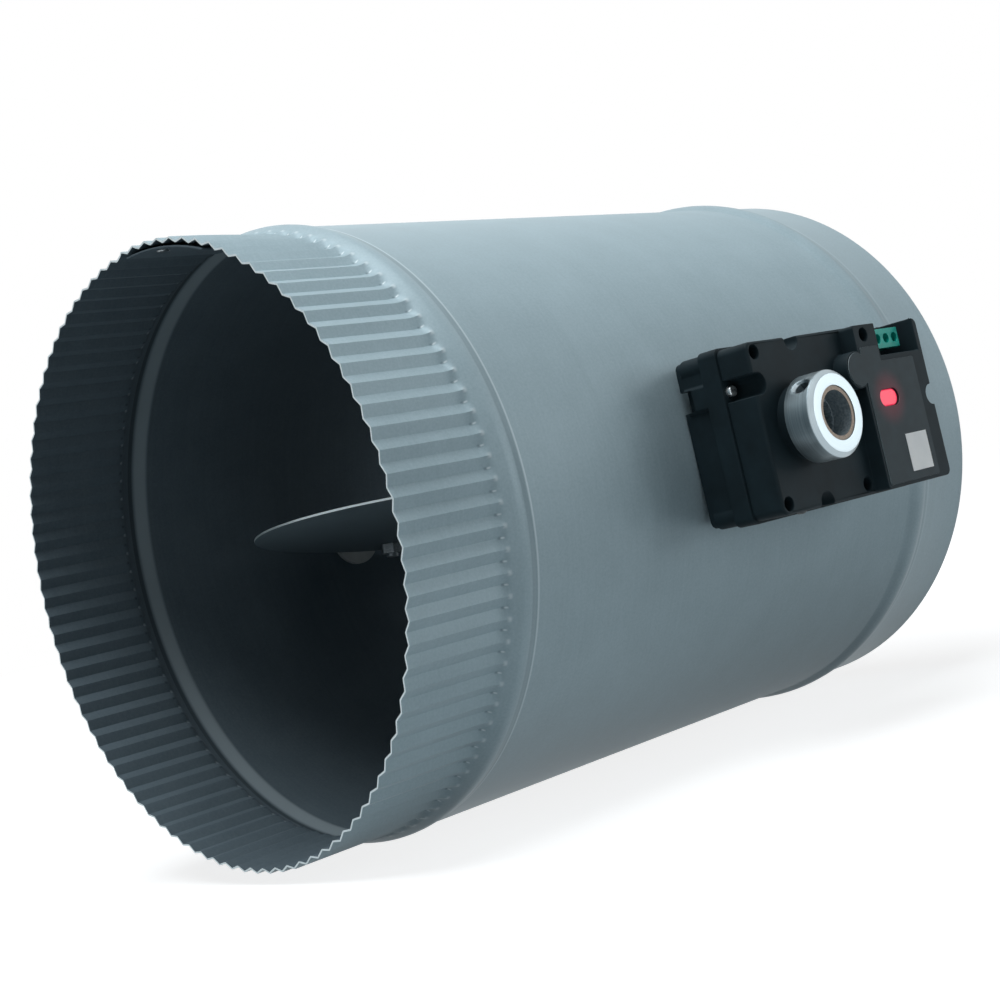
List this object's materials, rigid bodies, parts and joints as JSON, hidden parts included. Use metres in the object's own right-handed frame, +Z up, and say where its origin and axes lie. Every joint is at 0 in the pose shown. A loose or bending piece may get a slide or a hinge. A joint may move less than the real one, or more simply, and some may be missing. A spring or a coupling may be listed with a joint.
{
  "type": "round zone damper",
  "caption": "Round duct damper: crimped sheet tube with a pivoting disc blade and a small geared actuator on its side.",
  "frame": {"origin": "centre of the plain end's mouth, on the duct's axis", "axes": "+X along the duct's axis, out of the plain end; +Z up, square to the shaft; the actuator stands on the -Y side"},
  "size_m": [0.291, 0.2553, 0.2082],
  "materials": {
    "galvanised": "smooth bright galvanised sheet",
    "plated_steel": "zinc plated",
    "bush_nylon": "moulded nylon",
    "housing_plastic": "fine moulded texture",
    "collar_aluminium": "turned",
    "sleeve_steel": "sintered",
    "gear_plastic": "moulded acetal",
    "pinion_brass": "machined",
    "motor_steel": "plated",
    "switch_plastic": "moulded",
    "board_laminate": "solder mask",
    "terminal_plastic": "moulded",
    "led_red": "clear red lens",
    "overlay_film": "printed film, left bare",
    "label_paper": "matt paper, left bare"
  },
  "bodies": {
    "duct": {"duct_shell": "galvanised", "seam_lap": "galvanised", "seam_rivets": "plated_steel", "drive_bearing": "bush_nylon", "idle_bearing": "bush_nylon", "actuator_base": "housing_plastic", "actuator_cover": "housing_plastic", "cover_screws": "plated_steel", "side_screw": "plated_steel", "mounting_screws": "plated_steel", "plate_screws": "plated_steel", "board_screws": "plated_steel", "gear_pins": "plated_steel", "gear_plate": "motor_steel", "motor_can": "motor_steel", "open_limit_switch": "switch_plastic", "closed_limit_switch": "switch_plastic", "circuit_board": "board_laminate", "control_relay": "switch_plastic", "terminal_block": "terminal_plastic", "terminal_screws": "plated_steel", "status_led": "led_red", "led_window": "led_red", "face_overlay": "overlay_film", "blank_label": "label_paper"},
    "blade": {"blade": "galvanised", "drive_shaft": "plated_steel", "shaft_retainer": "plated_steel", "blade_bolts": "plated_steel", "blade_nuts": "plated_steel", "hub_sleeve": "sleeve_steel", "clamp_collar": "collar_aluminium", "collar_set_screw": "plated_steel", "limit_cam": "gear_plastic", "output_gear": "gear_plastic"},
    "second_gear": {"second_gear": "gear_plastic"},
    "first_gear": {"first_gear": "gear_plastic"},
    "motor_pinion": {"motor_pinion": "pinion_brass"}
  },
  "joints": [
    {"name": "blade_turn", "type": "hinge", "parent": "duct", "child": "blade", "pos_m": [-0.1455, 0, 0], "axis": [0, 1, 0], "range_deg": [-7.5, 82.5]},
    {"name": "second_gear_turn", "type": "hinge", "parent": "duct", "child": "second_gear", "pos_m": [-0.12577, 0, -0.00718], "axis": [0, 1, 0], "range_deg": [-208.25, 20.75]},
    {"name": "first_gear_turn", "type": "hinge", "parent": "duct", "child": "first_gear", "pos_m": [-0.11451, 0, 0.00227], "axis": [0, 1, 0], "range_deg": [-48.88, 517.62]},
    {"name": "motor_pinion_turn", "type": "hinge", "parent": "duct", "child": "motor_pinion", "pos_m": [-0.10641, 0, -0.00739], "axis": [0, 1, 0], "range_deg": [-1291.06, 119.19]}
  ],
  "couplings": [
    {"joint": "second_gear_turn", "follows": "blade_turn", "ratio": -2.5},
    {"joint": "first_gear_turn", "follows": "blade_turn", "ratio": 6.25},
    {"joint": "motor_pinion_turn", "follows": "blade_turn", "ratio": -15.625}
  ]
}
